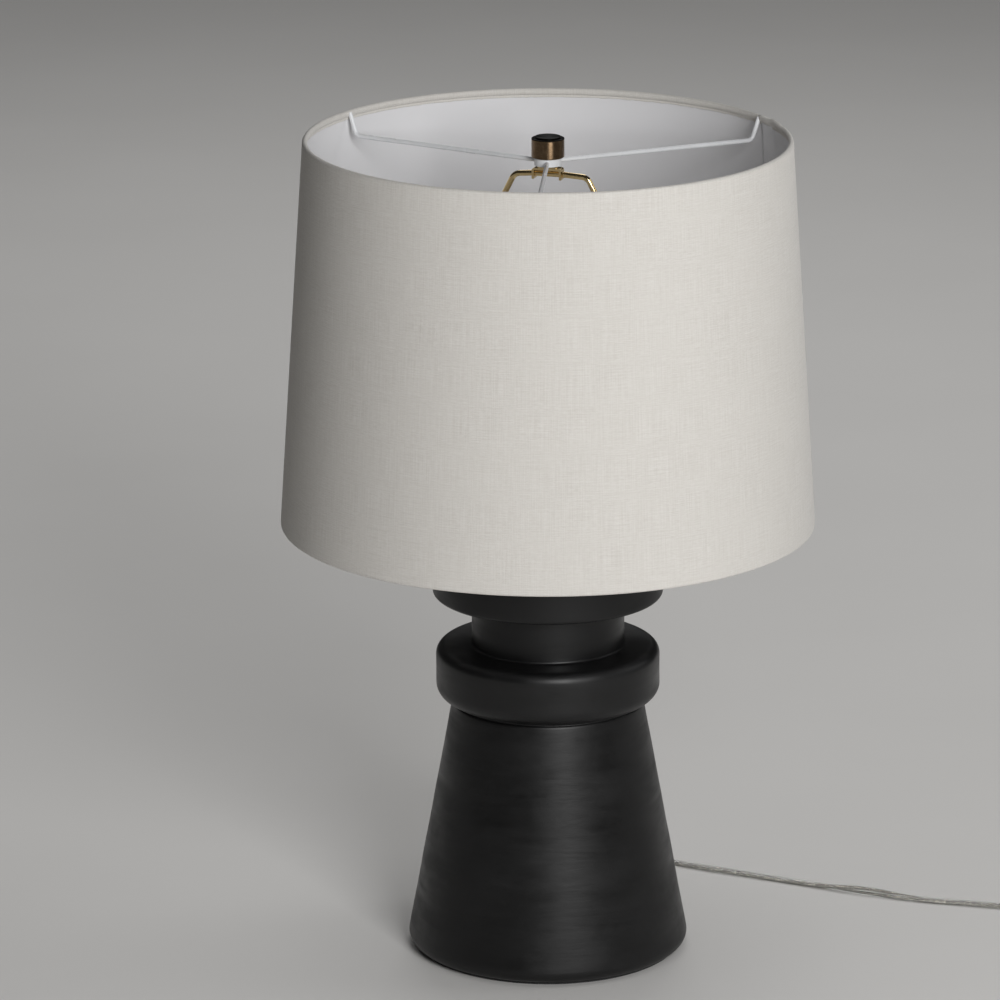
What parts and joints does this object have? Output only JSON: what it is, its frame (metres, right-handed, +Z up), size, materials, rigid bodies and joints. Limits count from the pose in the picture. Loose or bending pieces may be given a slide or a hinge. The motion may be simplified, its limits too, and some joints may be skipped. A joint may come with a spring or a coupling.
{
  "type": "table lamp",
  "caption": "Table lamp: turned black ceramic base with a collar and an upper disc, brass harp and screw socket, tapered linen drum shade on a wire spider, and a flat cord.",
  "frame": {"origin": "on the floor under the lamp's vertical axis, at the underside of the felt pad", "axes": "+Z up along the lamp's axis; -Y is the front; +X to the right, where the cord runs"},
  "size_m": [0.6831, 0.4062, 0.6369],
  "materials": {
    "ceramic": "matt black, faintly mottled",
    "felt": "black felt",
    "steel": "zinc plated",
    "polished_brass": "polished",
    "dark_bronze": "antique, satin",
    "white_paint": "gloss white",
    "linen": "natural linen weave",
    "lining": "smooth white",
    "clear_cord": "clear, over silvery strands",
    "clear_plug": "clear moulded",
    "nickel": "nickel plated",
    "black_rubber": "satin",
    "nylon": "natural",
    "phenolic": "moulded black",
    "fibre_card": "plain",
    "bulb_glass": "frosted white",
    "bulb_metal": "rolled",
    "black_glass": "solid"
  },
  "bodies": {
    "base": {"base_body": "ceramic", "felt_pad": "felt", "base_plate": "steel", "bottom_lock_washer": "steel", "bottom_nut": "steel", "lamp_pipe": "steel", "pipe_bushing": "nylon", "inner_lead": "clear_cord", "strain_relief": "black_rubber", "vase_cap": "polished_brass", "neck_spacer": "polished_brass", "top_locknut": "polished_brass", "cord": "clear_cord", "cord_coil": "clear_cord", "cord_tail": "clear_cord", "plug_body": "clear_plug", "plug_blades": "nickel", "harp_saddle": "polished_brass", "socket_cap": "polished_brass", "socket_set_screw": "polished_brass", "socket_interior": "phenolic", "screw_shell": "nickel", "centre_contact": "polished_brass", "terminal_screws": "polished_brass", "socket_leads": "clear_cord", "socket_liner": "fibre_card", "socket_shell": "polished_brass"},
    "switch": {"switch_stem": "polished_brass", "switch_knob": "phenolic"},
    "bulb": {"bulb_glass": "bulb_glass", "bulb_cap": "bulb_metal", "bulb_insulator": "black_glass", "bulb_contact": "bulb_metal"},
    "harp": {"harp_wire": "polished_brass", "harp_bracket": "polished_brass"},
    "ferrule_left": {"harp_ferrule_left": "polished_brass"},
    "ferrule_right": {"harp_ferrule_right": "polished_brass"},
    "swivel": {"harp_stud": "polished_brass"},
    "shade": {"shade_fabric": "linen", "shade_liner": "lining", "top_ring_wire": "white_paint", "bottom_ring_wire": "white_paint", "top_hem": "linen", "bottom_hem": "linen", "spider_hub": "white_paint", "spider_arm_1": "white_paint", "spider_arm_2": "white_paint", "spider_arm_3": "white_paint"},
    "finial": {"finial": "dark_bronze"}
  },
  "joints": [
    {"name": "switch_turn", "type": "hinge", "parent": "base", "child": "switch", "pos_m": [0, 0, 0.382], "axis": [-0.2756, -0.9613, 0], "continuous": true},
    {"name": "bulb_unscrew", "type": "slide", "parent": "base", "child": "bulb", "axis": [0, 0, 1], "range_m": [0, 0.027]},
    {"name": "harp_lift", "type": "slide", "parent": "base", "child": "harp", "axis": [0, 0, 1], "range_m": [0, 0.025]},
    {"name": "ferrule_left_slide", "type": "slide", "parent": "harp", "child": "ferrule_left", "axis": [0, 0, 1], "range_m": [0, 0.01]},
    {"name": "ferrule_right_slide", "type": "slide", "parent": "harp", "child": "ferrule_right", "axis": [0, 0, 1], "range_m": [0, 0.01]},
    {"name": "shade_turn", "type": "hinge", "parent": "harp", "child": "swivel", "pos_m": [0, 0, 0.615], "axis": [0, 0, 1], "continuous": true},
    {"name": "shade_lift", "type": "slide", "parent": "swivel", "child": "shade", "axis": [0, 0, 1], "range_m": [0, 0.3]},
    {"name": "finial_unscrew", "type": "slide", "parent": "shade", "child": "finial", "axis": [0, 0, 1], "range_m": [0, 0.016]}
  ]
}
